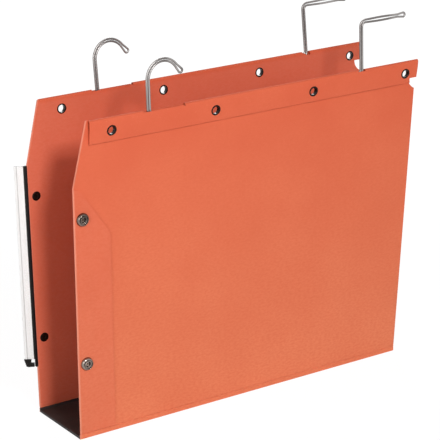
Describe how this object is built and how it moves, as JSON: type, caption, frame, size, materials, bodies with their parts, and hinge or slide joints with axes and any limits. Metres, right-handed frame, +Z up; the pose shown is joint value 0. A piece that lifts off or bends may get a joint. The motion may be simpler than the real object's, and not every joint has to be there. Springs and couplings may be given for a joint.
{
  "type": "hanging file folder",
  "caption": "Suspension folder of coral card on a wide black base, hung on two rails by round and square wire hooks, with a slanted label holder beside its open end",
  "frame": {"origin": "on the ground plane, under the middle of the folder's overall box", "axes": "+X runs along the folder from its open, labelled end to the far end; +Y goes from the front panel to the rear panel; +Z is up"},
  "size_m": [0.396, 0.097, 0.3478],
  "materials": {
    "coral_card": "dyed kraft card, matt",
    "black_base": "black moulded plastic, fine grain",
    "steel_wire": "bright zinc-plated spring steel wire",
    "black_eyelet": "black-lacquered steel",
    "gunmetal": "gunmetal-plated brass-steel press stud, smooth",
    "spring_steel": "bare spring wire",
    "black_rail": "black extruded plastic, satin",
    "clear_window": "clear stiff film",
    "label_paper": "white uncoated label paper, bare"
  },
  "bodies": {
    "base": {"base_tray": "black_base", "front_panel_foot": "coral_card", "rear_panel_foot": "coral_card"},
    "front_panel": {"front_panel": "coral_card", "front_eyelet_1": "black_eyelet", "front_eyelet_2": "black_eyelet", "front_eyelet_3": "black_eyelet", "front_eyelet_4": "black_eyelet", "front_post_upper": "gunmetal", "front_socket_upper": "gunmetal", "front_spring_upper": "spring_steel", "front_post_lower": "gunmetal", "front_socket_lower": "gunmetal", "front_spring_lower": "spring_steel"},
    "rear_panel": {"rear_panel": "coral_card", "rear_eyelet_1": "black_eyelet", "rear_eyelet_2": "black_eyelet", "rear_eyelet_3": "black_eyelet", "rear_eyelet_4": "black_eyelet", "rear_post_upper": "gunmetal", "rear_stud_upper": "gunmetal", "rear_post_lower": "gunmetal", "rear_stud_lower": "gunmetal", "label_rail": "black_rail", "label_window": "clear_window", "label_foot": "black_rail"},
    "front_hanger": {"front_hanger": "steel_wire"},
    "rear_hanger": {"rear_hanger": "steel_wire"},
    "label": {"label_strip": "label_paper"}
  },
  "joints": [
    {"name": "front_crease", "type": "hinge", "parent": "base", "child": "front_panel", "pos_m": [-0.00496, -0.04471, 0.0048], "axis": [1, 0, 0], "range_deg": [-4, 85]},
    {"name": "rear_crease", "type": "hinge", "parent": "base", "child": "rear_panel", "pos_m": [-0.00496, 0.02979, 0.0048], "axis": [-1, 0, 0], "range_deg": [-6, 83]},
    {"name": "front_hanger_tilt", "type": "hinge", "parent": "front_panel", "child": "front_hanger", "pos_m": [-0.00496, -0.04636, 0.29469], "axis": [1, 0, 0], "range_deg": [-3.5, 7.5]},
    {"name": "rear_hanger_tilt", "type": "hinge", "parent": "rear_panel", "child": "rear_hanger", "pos_m": [-0.00496, 0.04156, 0.29446], "axis": [-1, 0, 0], "range_deg": [-10, 1]},
    {"name": "label_slide", "type": "slide", "parent": "rear_panel", "child": "label", "axis": [0, 0.0349, 0.9994], "range_m": [0, 0.15]}
  ]
}
